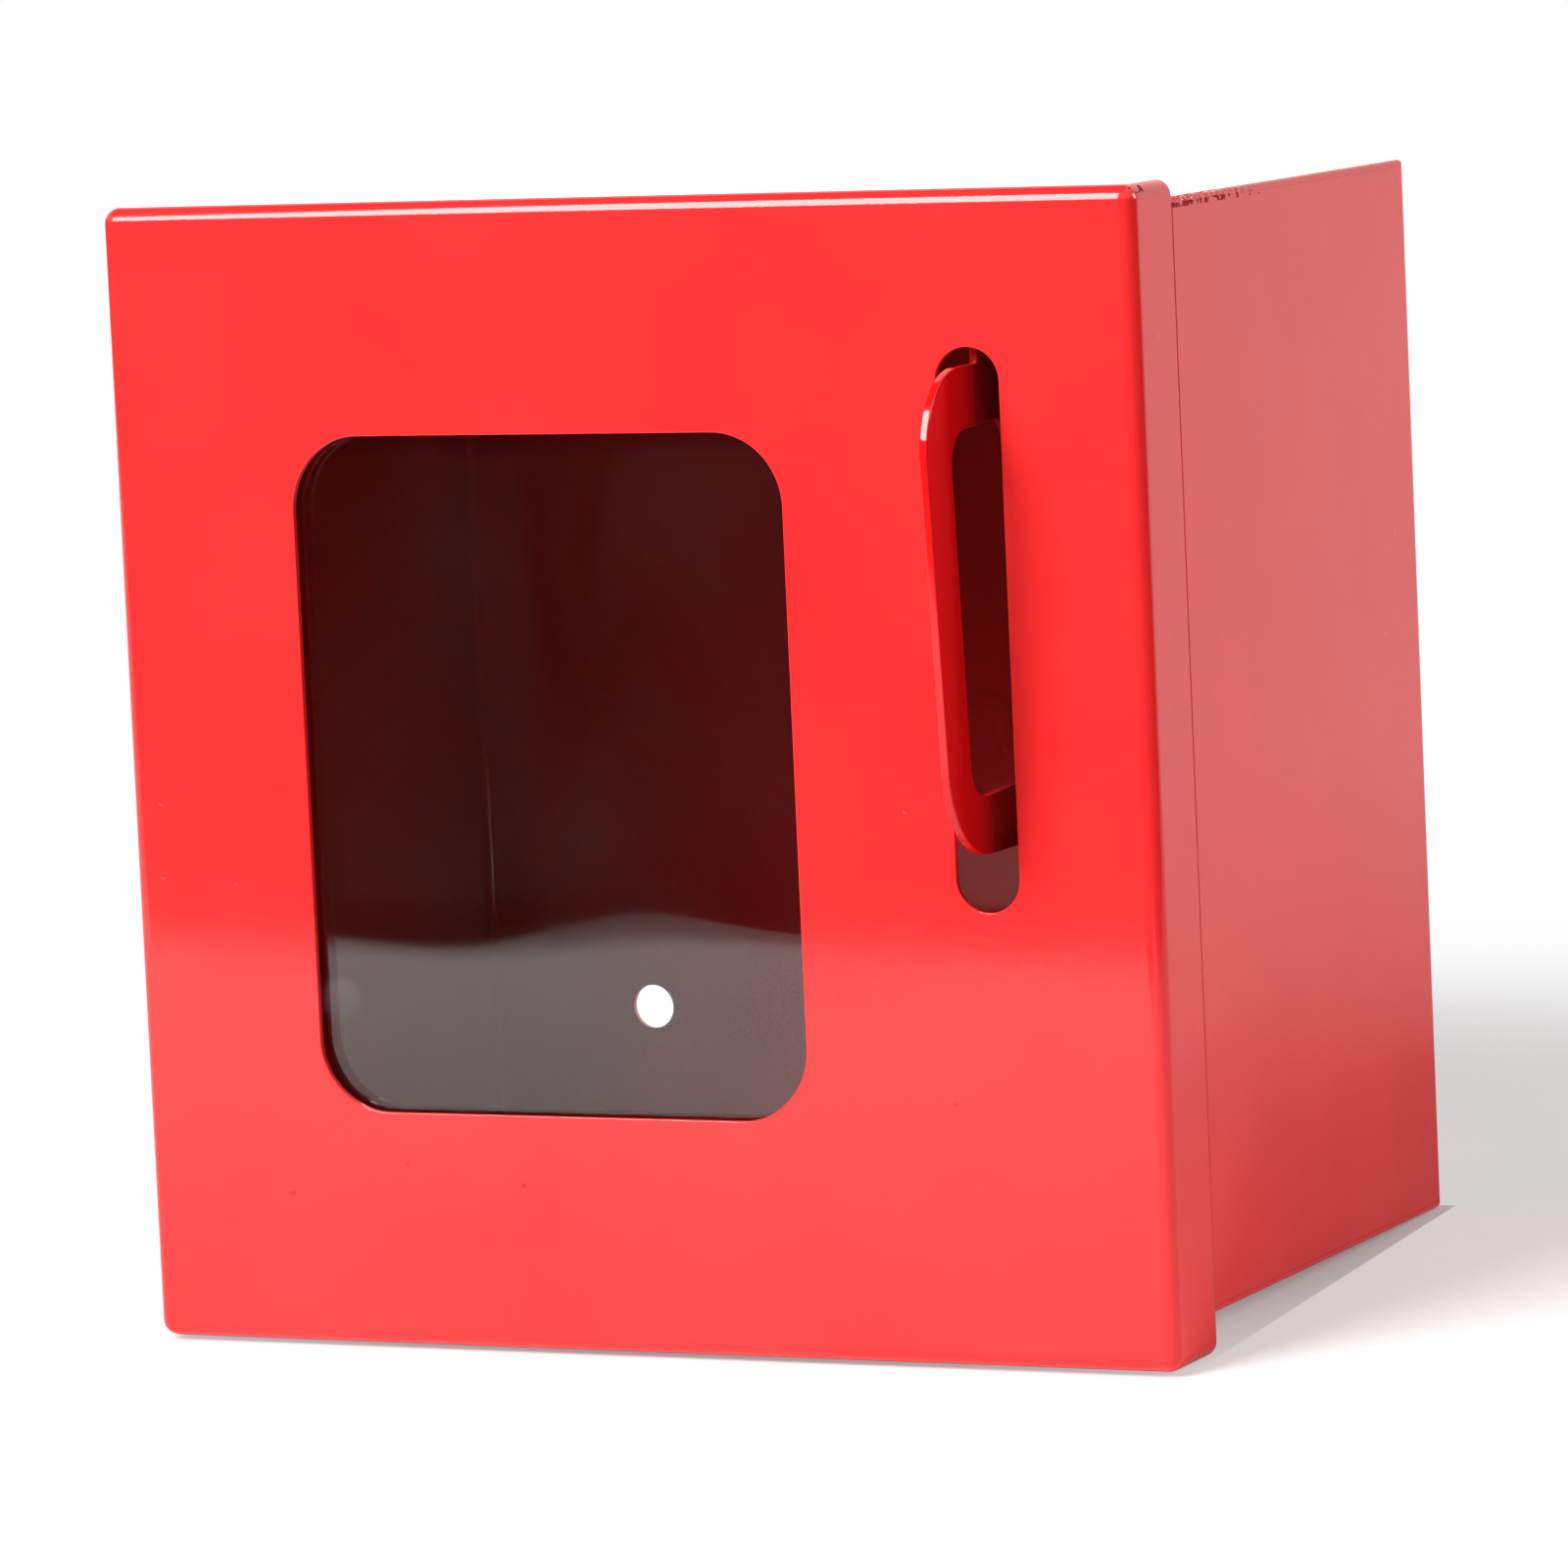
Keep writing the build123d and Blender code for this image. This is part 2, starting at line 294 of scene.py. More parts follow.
def table_top(name, colour, under_box, white_share, seen, mirrored, mirrored_from):
    """A pale table that turns pure white with distance, so that it meets the white room without
    a line. seen and mirrored are two distances each, between which the white takes over for
    direct sight and for mirror images. Nearer than that the table keeps its own light and shadow,
    of which direct sight takes in white_share of white, except under the box. Towards its front
    edge its colour is painted dark, as painted shade where a rounded edge would fall into shade."""
    material, surface, output = matt(name, colour)
    tree = material.node_tree
    rays = tree.nodes.new("ShaderNodeLightPath").outputs
    where = tree.nodes.new("ShaderNodeTexCoord").outputs["Object"]
    # The colour darkens towards the table's front edge: painted shade.
    painted_edge_shade = map_range(tree, along_axes(tree, where)["Y"], table_front_y, table_front_y + edge_shade_width,
                         step="SMOOTHSTEP")
    shade = mix_colour(tree, painted_edge_shade, (*dark_grey, 1), (*colour, 1))
    tree.links.new(shade, surface.inputs["Color"])
    direct = node_math(tree, "MAXIMUM", rays["Is Camera Ray"], rays["Is Transmission Ray"])
    open_table = node_math(tree, "LESS_THAN", within(tree, where, *under_box), 0.5)
    share = node_math(tree, "MULTIPLY", open_table, white_share)
    far = map_range(tree, vector_math(tree, "DISTANCE", where), *seen, step="SMOOTHSTEP")
    share = node_math(tree, "MAXIMUM", far, share)
    direct = node_math(tree, "MULTIPLY", direct, share)
    away = vector_math(tree, "DISTANCE", where, mirrored_from)
    image = map_range(tree, away, *mirrored, step="SMOOTHSTEP")
    image = node_math(tree, "MULTIPLY", rays["Is Glossy Ray"], image)
    white = node_math(tree, "MAXIMUM", direct, image)
    unscattered = node_math(tree, "LESS_THAN", rays["Diffuse Depth"], 0.5)
    white = node_math(tree, "MULTIPLY", white, unscattered)
    glow = tree.nodes.new("ShaderNodeEmission")
    glow.inputs["Color"].default_value = (1, 1, 1, 1)
    mix_shader(tree, white, surface.outputs["BSDF"], glow.outputs["Emission"], output)
    return material


def stage_sheet(name, corners, material):
    """A flat sheet of the studio, which is no part of the box."""
    shape = bmesh.new()
    shape.faces.new([shape.verts.new(corner) for corner in corners])
    sheet_object = new_object(name, shape)
    sheet_object.data.materials.append(material)
    return sheet_object


dark_grey = (0.012, 0.012, 0.012)
dark = matt("dark_cloth", dark_grey)[0]
print("cloth", dark.name)

# %% [markdown]
# The table leans a little, because the box rests on its door's lower rim and its own rear edge.
# The curtains and the card overhead are mirrored, but hidden from the camera, and they throw no
# shadow.

# %% Table and curtains
rim_y, rim_z, table_gap = pan_high.y, pan_low.z, 0.02 * mm
heel_y, heel_z = -0.4 * mm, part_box("bottom_seam_weld")[0].z
lean = (heel_z - rim_z) / (heel_y - rim_y)


def table_z(y):
    """Height of the leaning table top under a place."""
    return rim_z + lean * (y - rim_y) - table_gap


# The second value is how far in from the front edge the painted shade reaches.
table_front_y, edge_shade_width = pan_low.y - 620 * mm, 50 * mm
table_back_y, table_turn_y, table_corner_y = 1.8, 0.16, 1.2
table_half_w, table_side_x = 1.6, 0.5
under_box = (pan_low.x, pan_low.y - 0.5 * mm, -1), (pan_high.x, shell_high.y, 1)
pale = table_top("pale_table", (0.86, 0.86, 0.86), under_box, white_share=0.5, seen=(0.06, 0.24),
                 mirrored=(0.50, 0.74), mirrored_from=(0, -0.3, 0))
stage_sheet("table", [(x, y, table_z(y)) for x, y in (
    (-table_half_w, table_front_y), (table_side_x, table_front_y), (table_side_x, table_turn_y),
    (table_half_w, table_corner_y), (table_half_w, table_back_y), (-table_half_w, table_back_y),
)], pale)
curtain_y, curtain_x, curtain_left_x, curtain_end_y = -1.9, 2.0, -3.0, 1.5
curtain_low, curtain_high = -1.2, 0.75
near_left, near_right = (curtain_left_x, curtain_y), (curtain_x, curtain_y)
far_right, far_left = (curtain_x, curtain_end_y), (curtain_left_x, curtain_end_y)
hidden = []
for name, start, end in (("curtain", near_left, near_right), ("side_curtain", near_right, far_right),
                         ("left_curtain", far_left, near_left)):
    hidden.append(stage_sheet(name, [(*start, curtain_low), (*end, curtain_low),
                                     (*end, curtain_high), (*start, curtain_high)], dark))
hidden.append(stage_sheet("room_floor", [
    (*corner, curtain_low) for corner in (near_left, near_right, far_right, far_left)
], dark))
card_z, card_low_x, card_high_x, card_low_y, card_high_y = 2.0, -2.0, 0.4, -0.9, 1.3
overhead_card = stage_sheet("overhead_card", [
    (card_low_x, card_low_y, card_z), (card_low_x, card_high_y, card_z),
    (card_high_x, card_high_y, card_z), (card_high_x, card_low_y, card_z),
], dark)
for piece in (*hidden, overhead_card):
    piece.visible_camera = False
    piece.visible_shadow = False
overhead_card.visible_diffuse = False
print("table leans", round(math.degrees(math.atan(lean)), 2), "degrees")

# %% [markdown]
# The key light is a large softbox in front and to the left, high enough that its light falls
# steeply: the door is bright, the loop's shadow is soft, and the inside of the box stays dark.
# A weaker fill stands at the right, behind the door's plane. It keeps the cabinet's side red and
# leaves the loop's right face to the light that the door throws back. A low rim light behind the
# box turns its top almost white, because the top is seen at a very flat angle. The room around
# is white to look at, and gives only a little light of its own.

# %% Lights
def softbox(name, place, aim, width, height, power):
    """A rectangular lamp that shines from its place towards its aim."""
    light = bpy.data.lights.new(name, "AREA")
    light.shape = "RECTANGLE"
    light.size = width
    light.size_y = height
    light.energy = power
    lamp = bpy.data.objects.new(name, light)
    bpy.context.scene.collection.objects.link(lamp)
    turn = (Vector(aim) - Vector(place)).to_track_quat("-Z", "Y").to_matrix().to_4x4()
    lamp.matrix_world = Matrix.Translation(Vector(place)) @ turn
    return lamp


key = softbox("key", (-0.42, -0.95, 0.78), (0, -0.1, 0), 0.55, 0.80, 27.5)
fill = softbox("fill", (1.1, 0.5, 0.5), (0.07, -0.05, 0), 0.5, 0.5, 7.4)
rim = softbox("rim", (-0.70, 1.35, 0.26), (0, -0.05, 0.07), 1.3, 0.28, 1.5)

world = bpy.data.worlds.new("white room")
bpy.context.scene.world = world
world.use_nodes = True
room = world.node_tree
room.nodes.clear()


def background(strength):
    """A plain white surround."""
    node = room.nodes.new("ShaderNodeBackground")
    node.inputs["Color"].default_value = (1, 1, 1, 1)
    node.inputs["Strength"].default_value = strength
    return node.outputs["Background"]


rays = room.nodes.new("ShaderNodeLightPath").outputs
sight = node_math(room, "MAXIMUM", rays["Is Camera Ray"], rays["Is Glossy Ray"])
sight = node_math(room, "MAXIMUM", sight, rays["Is Transmission Ray"])
first = node_math(room, "LESS_THAN", rays["Diffuse Depth"], 0.5)
sight = node_math(room, "MULTIPLY", sight, first)
light_given, white_seen = 0.14, 1.0
mix_shader(room, sight, background(light_given), background(white_seen),
           room.nodes.new("ShaderNodeOutputWorld"))
bpy.context.scene.view_settings.view_transform = "Standard"
print("lights", key.data.energy, fill.data.energy, rim.data.energy)

# %% [markdown]
# The whole box wears one coat of gloss red. Baked paint is not one flat red: it varies a little
# in depth and gloss from place to place, has the fine skin that painters call orange peel, and
# holds a few grains of dust. Each of these is a noise on the object's own coordinates. Inside
# the box the red is painted deeper, as painted shade, and the loop's red is painted darker all
# over, as painted shade too.

# %% Noise and bumps
def noise_value(tree, where, scale, detail, name, distortion=0.0):
    """A noise between 0 and 1. A larger scale makes a finer noise."""
    node = tree.nodes.new("ShaderNodeTexNoise")
    node.name = name
    node.inputs["Scale"].default_value = scale
    node.inputs["Detail"].default_value = detail
    node.inputs["Distortion"].default_value = distortion
    tree.links.new(where, node.inputs["Vector"])
    return node.outputs["Fac"]


def bump(tree, height, distance, strength=1.0, under=None, invert=False):
    """Turn a height into a normal, on top of another normal if there is one under it."""
    node = tree.nodes.new("ShaderNodeBump")
    node.invert = invert
    node.inputs["Strength"].default_value = strength
    node.inputs["Distance"].default_value = distance
    tree.links.new(height, node.inputs["Height"])
    if under is not None:
        tree.links.new(under, node.inputs["Normal"])
    return node.outputs["Normal"]


def sheet_waves(tree, where, scale, height, invert=False):
    """The slow waves of a sheet that was bent, welded or pulled against its tape."""
    return bump(tree, noise_value(tree, where, scale, 0, "waves"), height, invert=invert)


print("noise and bump helpers ready")

# %% [markdown]
# Two marks: a faint line of painted shade on the walls just behind the door's rim, and the pits
# of welding at the top's front right corner, which are real dents whose darker red is painted
# shade. They could be painted as a picture, but a rule on the object's coordinates stays sharp
# at any distance.

# %% Marks
def rim_shade_line(tree, where):
    """A faint line of painted shade on the cabinet's walls, a little behind the door's rim."""
    line_y, line_core, line_edge, shade_share = pan_high.y + 3.4 * mm, 0.3 * mm, 0.8 * mm, 0.85
    off = node_math(tree, "SUBTRACT", along_axes(tree, where)["Y"], line_y)
    off = node_math(tree, "ABSOLUTE", off, 0.0)
    return map_range(tree, off, line_core, line_edge, shade_share, 0.0)


def pits(tree, where, low, high, clear_y, worst_y):
    """Pits left by welding, in one zone, thicker from clear_y towards worst_y."""
    grain = noise_value(tree, where, pit_scale, 3, "pits")
    nearer = map_range(tree, along_axes(tree, where)["Y"], clear_y, worst_y, 0.0, pit_crowding)
    depth = node_math(tree, "ADD", grain, nearer)
    pitted = map_range(tree, depth, pit_start, pit_full)
    return node_math(tree, "MULTIPLY", pitted, within(tree, where, low, high))


def body_marks(tree, where):
    """The line of painted shade, and the pits along the top seam's front right."""
    seam = pits(tree, where, (shell_high.x - 2 * mm, shell_low.y, shell_high.z - 0.5 * mm),
                (shell_high.x + mm, -55 * mm, shell_high.z + 0.2 * mm), -56 * mm, -92 * mm)
    return node_math(tree, "MAXIMUM", rim_shade_line(tree, where), seam)


def door_marks(tree, where):
    """The pits of the door's upper right corner."""
    return pits(tree, where, (pan_high.x - 1.2 * mm, pan_low.y + mm, pan_high.z - 1.2 * mm),
                (pan_high.x + mm, pan_low.y + 5 * mm, pan_high.z - 0.3 * mm), -70 * mm, -180 * mm)


pit_scale, pit_depth, pit_crowding, pit_start, pit_full = 800, 0.2 * mm, 0.17, 0.57, 0.62
print("pits", pit_depth / mm, "mm deep")

# %% [markdown]
# The colours are stacked: the red first, then the painted shade of the rim line and the pits.
# The bumps are stacked too, from the slow waves of the sheet up to the skin of the paint.

# %% Paint
def enamel(name, bright, deep, inner, shade_front_y, marks=None):
    """Gloss paint: two close reds, uneven gloss, orange peel and grains of dust, on sheet that is
    never quite flat. Inside the box, behind the front y given, the red is painted deeper, as painted shade."""
    material, tree, where = new_material(name)
    shader = tree.nodes["Principled BSDF"]
    cloud = noise_value(tree, where, cloud_scale, 3, "cloud")
    colour = mix_colour(tree, map_range(tree, cloud, 0.35, 0.7), (*bright, 1), (*deep, 1))
    # Inside the box the red is painted deeper: painted shade.
    inside = within(tree, where, (-shell_half_w, shade_front_y, -shell_half_h),
                    (shell_half_w, -sheet / 2, shell_half_h))
    colour = mix_colour(tree, inside, colour, (*inner, 1))
    patches = noise_value(tree, where, patch_scale, 4, "patches")
    rough = map_range(tree, patches, 0.3, 0.75, gloss_low, gloss_high)
    waves = sheet_waves(tree, where, wave_scale, wave_height)
    if marks:
        spots = marks(tree, where)
        # The marks are painted a darker red: painted shade along the rim line and in the pits.
        colour = mix_colour(tree, spots, colour, (*shade_red, 1))
        rough = node_math(tree, "MAXIMUM", rough, node_math(tree, "MULTIPLY", spots, marks_rough))
        waves = bump(tree, spots, pit_depth, under=waves, invert=True)
    tree.links.new(colour, shader.inputs["Base Color"])
    tree.links.new(rough, shader.inputs["Roughness"])
    dust = tree.nodes.new("ShaderNodeTexVoronoi")
    dust.inputs["Scale"].default_value = dust_scale
    tree.links.new(where, dust.inputs["Vector"])
    grains = map_range(tree, dust.outputs["Distance"], 0.0, 0.045, 1, 0)
    dusty = bump(tree, grains, dust_height, 0.8, under=waves)
    peel = noise_value(tree, where, peel_scale, 1, "orange peel")
    tree.links.new(bump(tree, peel, peel_height, under=dusty), shader.inputs["Normal"])
    shader.inputs["IOR"].default_value = paint_ior
    return material


paint_ior, gloss_low, gloss_high = 1.42, 0.05, 0.09
cloud_scale, patch_scale, dust_scale, peel_scale, wave_scale = 28, 60, 105, 620, 16
dust_height, peel_height, wave_height = 0.08 * mm, 0.003 * mm, 0.25 * mm
# The red of the marked spots is painted shade; their roughness comes with it.
shade_red, marks_rough = (0.42, 0.003, 0.006), 0.9
shell_half_w, shell_half_h = shell_high.x - sheet / 2, shell_high.z + sheet / 2
# The third red is the painted shade inside the box.
bright_red, deep_red, inside_shade_red = (0.86, 0.028, 0.028), (0.80, 0.021, 0.022), (0.46, 0.010, 0.011)
body_red = enamel("red_enamel_body", bright_red, deep_red, inside_shade_red, shell_low.y + sheet / 2, body_marks)
door_red = enamel("red_enamel_door", bright_red, deep_red, inside_shade_red, pan_low.y + 0.95 * sheet, door_marks)
# The loop's reds are painted darker than the box's: painted shade.
loop_shaded_red = enamel("red_enamel_loop", (0.66, 0.007, 0.009), (0.60, 0.005, 0.007), inside_shade_red, pan_low.y + sheet)
print("paint", [m.name for m in (body_red, door_red, loop_shaded_red)])

# %% [markdown]
# The window is a plate of clear acrylic. It bends no light to speak of, mirrors a little from
# both faces, and carries wiped-on dust. Lamp light has to pass it, so for the rays that look
# for lamps it counts as partly open.

# %% Acrylic, tape and metals
def acrylic(name):
    """Clear plate with a film of wiped dust, on slow waves."""
    material, tree, where = new_material(name)
    shader = tree.nodes["Principled BSDF"]
    shader.inputs["Base Color"].default_value = (0.97, 0.98, 0.98, 1)
    shader.inputs["IOR"].default_value = 1.49
    stretch = tree.nodes.new("ShaderNodeMapping")
    stretch.inputs["Scale"].default_value = (1.0, 1.0, 0.45)
    stretch.inputs["Rotation"].default_value = (0, math.radians(25), 0)
    tree.links.new(where, stretch.inputs["Vector"])
    shifted = tree.nodes.new("ShaderNodeMapping")
    shifted.inputs["Location"].default_value = (-33 * mm, 0, 0)
    tree.links.new(where, shifted.inputs["Vector"])
    wipe = noise_value(tree, stretch.outputs["Vector"], 55, 5, "wiped dust", distortion=0.6)
    clearness = map_range(tree, wipe, 0.35, 0.75, 0.9993, 0.9972)
    tree.links.new(clearness, shader.inputs["Transmission Weight"])
    waves = sheet_waves(tree, shifted.outputs["Vector"], 22, 0.19 * mm, invert=True)
    tree.links.new(waves, shader.inputs["Normal"])
    tree.links.new(map_range(tree, wipe, 0.4, 0.8, 0.012, 0.03), shader.inputs["Roughness"])
    to_lamp = tree.nodes.new("ShaderNodeLightPath").outputs["Is Shadow Ray"]
    part_open = tree.nodes.new("ShaderNodeBsdfTransparent")
    part_open.inputs["Color"].default_value = (0.22, 0.22, 0.22, 1)
    mix_shader(tree, to_lamp, shader.outputs["BSDF"], part_open.outputs["BSDF"],
               tree.nodes["Material Output"])
    return material


def grained(name, light, deep, gloss, scale, rise, metallic=0.0):
    """A material with a fine grain: foam, drawn steel or turned brass."""
    material, tree, where = new_material(name)
    shader = tree.nodes["Principled BSDF"]
    grain = noise_value(tree, where, scale, 4, "grain")
    tint = mix_colour(tree, map_range(tree, grain, 0.3, 0.7), (*light, 1), (*deep, 1))
    tree.links.new(tint, shader.inputs["Base Color"])
    tree.links.new(map_range(tree, grain, 0.3, 0.7, *gloss), shader.inputs["Roughness"])
    tree.links.new(bump(tree, grain, rise * mm, 0.6), shader.inputs["Normal"])
    shader.inputs["Metallic"].default_value = metallic
    return material


clear_acrylic = acrylic("clear_acrylic")
black_foam = grained("black_foam", (0.030, 0.030, 0.032), (0.012, 0.012, 0.013), (0.8, 0.95), 2600, 0.08)
bright_steel = grained("bright_steel", (0.62, 0.62, 0.63), (0.48, 0.48, 0.50), (0.22, 0.4), 1500, 0.01, 1.0)
turned_brass = grained("turned_brass", (0.72, 0.52, 0.24), (0.60, 0.41, 0.17), (0.25, 0.42), 1500, 0.01, 1.0)
print("other finishes", [m.name for m in (clear_acrylic, black_foam, bright_steel, turned_brass)])

# %% [markdown]
# The door starts as a box with no back. Its eight folds are rounded in one bevel, which also
# makes the ball-shaped corners. Then the sheet gets its thickness.

# %% Door outline
def boxed(shape, low, high):
    """A block between two corners."""
    made = bmesh.ops.create_cube(shape, size=1.0)["verts"]
    bmesh.ops.scale(shape, verts=made, vec=Vector(high) - Vector(low))
    bmesh.ops.translate(shape, verts=made, vec=(Vector(high) + Vector(low)) / 2)


def verts_of(made):
    """The vertices among all that an operator made."""
    return [v for v in made if isinstance(v, bmesh.types.BMVert)]


def rounded_sheet(shape, width, height, radius, steps, middle=(0, 0, 0)):
    """A flat sheet with rounded corners, lying round its middle."""
    bmesh.ops.create_grid(shape, x_segments=1, y_segments=1, size=0.5)
    bmesh.ops.scale(shape, verts=shape.verts[:], vec=(width, height, 1))
    bmesh.ops.translate(shape, verts=shape.verts[:], vec=middle)
    bmesh.ops.bevel(shape, geom=shape.verts[:], offset=radius, segments=steps, profile=0.5,
                    affect="VERTICES", material=-1)


def rounded_block(shape, width, height, radius, depth, steps=12):
    """A plate lying flat with rounded corners, from z 0 up to its depth."""
    rounded_sheet(shape, width, height, radius, steps)
    bmesh.ops.remove_doubles(shape, verts=shape.verts[:], dist=tiny)
    grown = bmesh.ops.extrude_face_region(shape, geom=shape.faces[:])["geom"]
    bmesh.ops.translate(shape, verts=verts_of(grown), vec=(0, 0, depth))
    bmesh.ops.recalc_face_normals(shape, faces=shape.faces[:])


def stand_up(shape, x, y, z):
    """Turn a lying plate to stand in the door's plane, its depth running back from y."""
    stand = Matrix.Translation((x, y, z)) @ Matrix.Rotation(math.radians(-90), 4, "X")
    bmesh.ops.transform(shape, matrix=stand, verts=shape.verts[:])


pan_mid = (pan_low + pan_high) / 2
door_shape = bmesh.new()
boxed(door_shape, pan_low, pan_high)
back = [face for face in door_shape.faces if face.normal.y > 0.9]
bmesh.ops.delete(door_shape, geom=back, context="FACES_ONLY")
folds = [edge for edge in door_shape.edges if not edge.is_boundary]
bmesh.ops.bevel(door_shape, geom=folds, offset=fold_r, segments=fold_steps, profile=0.5,
                affect="EDGES", material=-1)
door = new_object("door_pan_skin", door_shape)
thicken(door, sheet)
print("door folds rounded to", fold_r / mm, "mm")

# %% [markdown]
# The window and the long slot are punched right through the door's sheet. Each punch is a block
# with rounded corners. The edges are softened after the punching, so that the new ones are
# softened too.

# %% Door openings
window_w, window_h, window_r = 72.8 * mm, 92.1 * mm, 10.0 * mm
window_x, window_z = -12.0 * mm, pan_mid.z + 0.35 * mm
slot_x, slot_w = 51.7 * mm, 9.0 * mm
slot_low, slot_high = -18.4 * mm, 56.0 * mm
punch_out, punch_depth, punch_steps, door_edge = 1.5 * sheet, 4 * sheet, 16, 0.16 * mm
for x, z, w, h, r in (
    (window_x, window_z, window_w, window_h, window_r),
    (slot_x, (slot_low + slot_high) / 2, slot_w, slot_high - slot_low, slot_w / 2),
):
    punch_shape = bmesh.new()
    rounded_block(punch_shape, w, h, r, punch_depth, punch_steps)
    stand_up(punch_shape, x, pan_low.y - punch_out, z)
    punch = new_object("punch", punch_shape)
    cut(door, punch)
soften(door, door_edge)
print("window", window_w / mm, "x", window_h / mm, "slot", slot_w / mm, "wide")

# %% [markdown]
# The four corners of the rim are closed with weld on the real door, and are a piece of their
# own. They take the pan's rounded shape, so they are cut out of a copy of the pan, and the same
# tool then clears their places in it. Modelled apart, pan and welds would never quite meet.

# %% Door corners
corner_w = 3.0 * mm
corner_shape = bmesh.new()
for x in (pan_low.x, pan_high.x):
    for z in (pan_low.z, pan_high.z):
        boxed(corner_shape,
              (x - corner_w, pan_low.y + corner_w, z - corner_w),
              (x + corner_w, pan_high.y + corner_w, z + corner_w))
corner_tool = new_object("corner_tool", corner_shape)
corners = new_object("door_corner_skin", bmesh.new())
corners.data = door.data.copy()
cut(corners, corner_tool, "INTERSECT", keep_tool=True)
cut(door, corner_tool)
finish_piece(door, "door", ["door_pan"], door_red)
finish_piece(corners, "door", ["door_corner_welds"], door_red)

# %% [markdown]
# The cabinet's walls are one strip of sheet, bent like a C seen from above: lip, side, back,
# side, lip. A bent line is drawn, its corners are rounded, and it is pulled up to its height.

# %% Cabinet walls
def bent_strip(shape, points, radius, low_z, high_z, steps=fold_steps):
    """Pull a bent line up into a wall. The corners between the ends get the radius."""
    line = [shape.verts.new((x, y, low_z)) for x, y in points]
    for start, end in zip(line, line[1:]):
        shape.edges.new((start, end))
    bmesh.ops.bevel(shape, geom=line[1:-1], offset=radius, segments=steps, profile=0.5,
                    affect="VERTICES", material=-1)
    pulled = bmesh.ops.extrude_edge_only(shape, edges=shape.edges[:])["geom"]
    bmesh.ops.translate(shape, verts=verts_of(pulled), vec=(0, 0, high_z - low_z))
    bmesh.ops.recalc_face_normals(shape, faces=shape.faces[:])


def turn_outwards(shape, middle):
    """Point an open skin's faces away from a place inside it."""
    away = sum((face.calc_center_median() - middle).dot(face.normal) * face.calc_area()
               for face in shape.faces)
    if away < 0:
        bmesh.ops.reverse_faces(shape, faces=shape.faces[:])


lip_w = 10.0 * mm
lip_end = shell_high.x - lip_w
wall_shape = bmesh.new()
bent_strip(wall_shape, [
    (-lip_end, shell_low.y), (shell_low.x, shell_low.y), (shell_low.x, shell_high.y),
    (shell_high.x, shell_high.y), (shell_high.x, shell_low.y), (lip_end, shell_low.y),
], fold_r, shell_low.z, shell_high.z)
shell_mid = (shell_low + shell_high) / 2
turn_outwards(wall_shape, shell_mid)
walls = new_object("cabinet_wall_skin", wall_shape)
thicken(walls, sheet)
hole_r, hole_span, drill_len, shell_edge = 3.2 * mm, 95.0 * mm, 4 * sheet, 0.12 * mm
for x in (-hole_span / 2, hole_span / 2):
    for z in (-hole_span / 2, hole_span / 2):
        drill_shape = bmesh.new()
        bmesh.ops.create_cone(drill_shape, cap_ends=True, segments=64, radius1=hole_r, radius2=hole_r,
                              depth=drill_len, matrix=Matrix.Translation((x, -sheet / 2, z))
                              @ Matrix.Rotation(math.radians(90), 4, "X"))
        drill = new_object("drill", drill_shape)
        cut(walls, drill)
soften(walls, shell_edge, 2)
finish_piece(walls, "cabinet", ["body_wrap"], body_red)

# %% [markdown]
# The top and bottom are flat plates with one lip turned over at the front. They lie on the
# walls and stop short of the outer face, which leaves a step for the weld.

# %% End plates
plate_low, plate_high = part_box("top_plate")
tab_half_w = lip_end - 0.3 * mm
setback = shell_high.y - plate_high.y


def end_plate(name, node, side):
    """A plate with its front lip. side is 1 for the top and -1 for the bottom."""
    shape = bmesh.new()
    front_y = shell_low.y + setback
    middle = ((plate_low.x + plate_high.x) / 2, (front_y + plate_high.y) / 2, plate_high.z)
    rounded_sheet(shape, plate_high.x - plate_low.x, plate_high.y - front_y, fold_r - setback,
                  corner_steps, middle)
    fold_y = shell_low.y + fold_r
    for place, normal in (((-tab_half_w, 0, 0), (1, 0, 0)), ((tab_half_w, 0, 0), (1, 0, 0)),
                          ((0, fold_y, 0), (0, 1, 0))):
        bmesh.ops.bisect_plane(shape, geom=shape.verts[:] + shape.edges[:] + shape.faces[:],
                               plane_co=place, plane_no=normal, dist=tiny / 10)
    front = [f for f in shape.faces
             if f.calc_center_median().y < fold_y and abs(f.calc_center_median().x) < tab_half_w]
    bmesh.ops.delete(shape, geom=front, context="FACES")
    edge = [e for e in shape.edges if e.is_boundary
            and all(abs(v.co.y - fold_y) < near and abs(v.co.x) < tab_half_w + near for v in e.verts)]
    folded = bmesh.ops.spin(shape, geom=edge, cent=(0, fold_y, plate_high.z - fold_r), axis=(1, 0, 0),
                            angle=math.radians(90), steps=fold_steps)["geom_last"]
    edge = [e for e in folded if isinstance(e, bmesh.types.BMEdge)]
    pulled = bmesh.ops.extrude_edge_only(shape, edges=edge)["geom"]
    bmesh.ops.translate(shape, verts=verts_of(pulled), vec=(0, 0, plate_low.z - (plate_high.z - fold_r)))
    bmesh.ops.remove_doubles(shape, verts=shape.verts[:], dist=tiny)
    bmesh.ops.recalc_face_normals(shape, faces=shape.faces[:])
    turn_outwards(shape, Vector((0, shell_mid.y, 0)))
    if side < 0:
        bmesh.ops.scale(shape, verts=shape.verts[:], vec=(1, 1, -1))
        bmesh.ops.reverse_faces(shape, faces=shape.faces[:])
    piece = new_object(name, shape)
    thicken(piece, sheet)
    soften(piece, shell_edge, 2)
    return finish_piece(piece, "cabinet", [node], body_red)


corner_steps = 8
end_plate("top_plate_skin", "top_plate", 1)
end_plate("bottom_plate_skin", "bottom_plate", -1)

